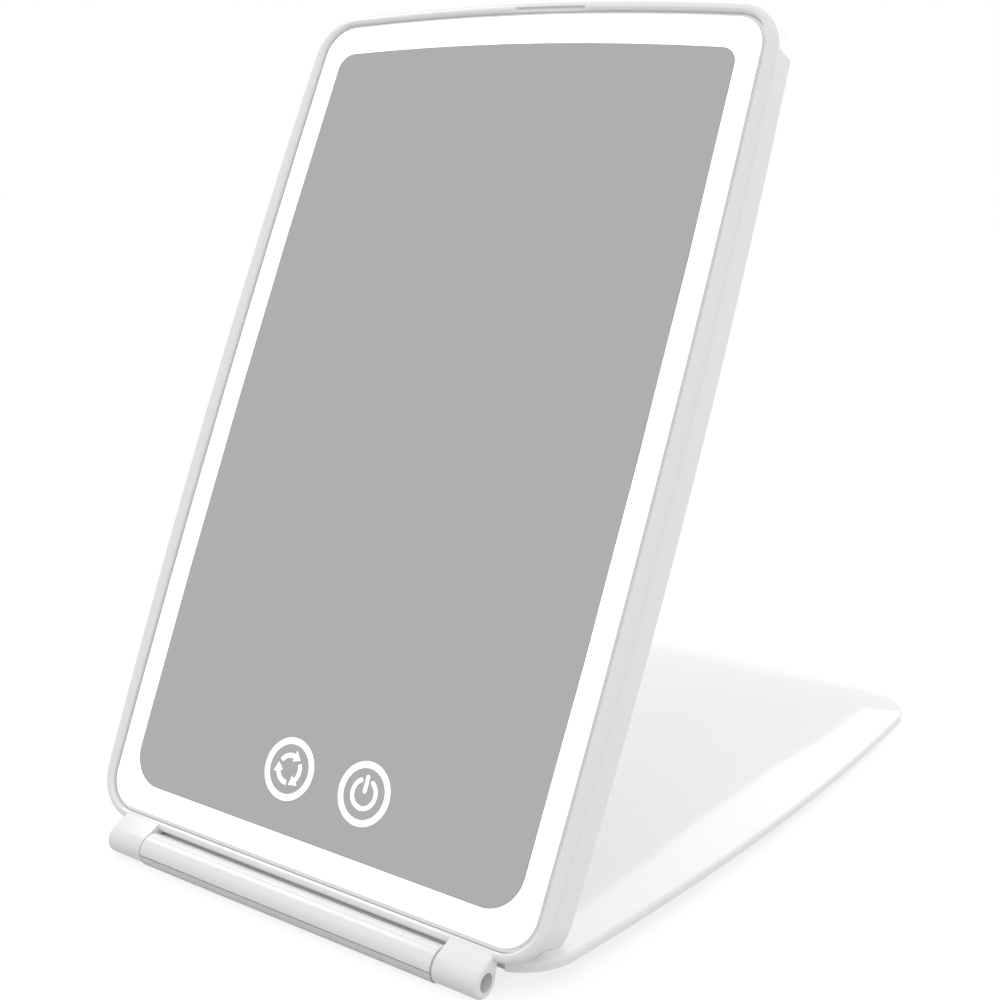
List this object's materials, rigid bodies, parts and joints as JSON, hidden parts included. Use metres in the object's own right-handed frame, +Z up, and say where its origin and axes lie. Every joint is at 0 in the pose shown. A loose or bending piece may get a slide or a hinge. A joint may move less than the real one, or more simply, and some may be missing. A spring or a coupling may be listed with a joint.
{
  "type": "folding lighted makeup mirror",
  "caption": "Folding lighted makeup mirror: silvered pane with an opal light border in a slim white frame, hinged to a domed cover that swings round behind it as the stand.",
  "frame": {"origin": "on the table, under the middle of the hinge axis, at the centre of the flat land below the hinge barrel", "axes": "+X across the mirror to the viewer's right, +Y back along the cover away from the viewer, +Z up"},
  "size_m": [0.127, 0.2056, 0.1872],
  "materials": {
    "white_abs": "gloss moulded",
    "white_liner": "fine moulded grain",
    "opal_acrylic": "satin opal",
    "silvered_glass": "polished",
    "acrylic_tape": "adhesive film",
    "white_tray": "moulded",
    "led_board": "white solder mask",
    "led_phosphor": "phosphor gel",
    "screw_steel": "zinc plated",
    "conductive_foam": "foam",
    "board_green": "solder mask",
    "chip_black": "moulded epoxy",
    "socket_steel": "nickel plated",
    "foam_tape": "foam",
    "cell_pouch": "laminated pouch",
    "lead_pvc": "insulated wire",
    "pin_steel": "ground",
    "acetal": "moulded",
    "pad_rubber": "moulded"
  },
  "bodies": {
    "cover": {"cover_shell": "white_abs", "cover_liner": "white_liner", "liner_screws": "screw_steel", "foot_pads": "pad_rubber", "hinge_pin": "pin_steel", "thrust_washers": "acetal"},
    "mirror": {"front_frame": "white_abs", "rear_cover": "white_abs", "light_band": "opal_acrylic", "mirror_glass": "silvered_glass", "mirror_tape": "acrylic_tape", "led_chassis": "white_tray", "led_strips": "led_board", "leds": "led_phosphor", "chassis_screws": "screw_steel", "touch_pads": "conductive_foam", "control_board": "board_green", "board_chips": "chip_black", "usb_socket": "socket_steel", "battery_tape": "foam_tape", "battery_cell": "cell_pouch", "battery_leads": "lead_pvc", "friction_sleeves": "acetal"}
  },
  "joints": [
    {"name": "leaf_hinge", "type": "hinge", "parent": "cover", "child": "mirror", "pos_m": [0, 0, 0.00345], "axis": [1, 0, 0], "range_deg": [-5, 293.3]}
  ]
}
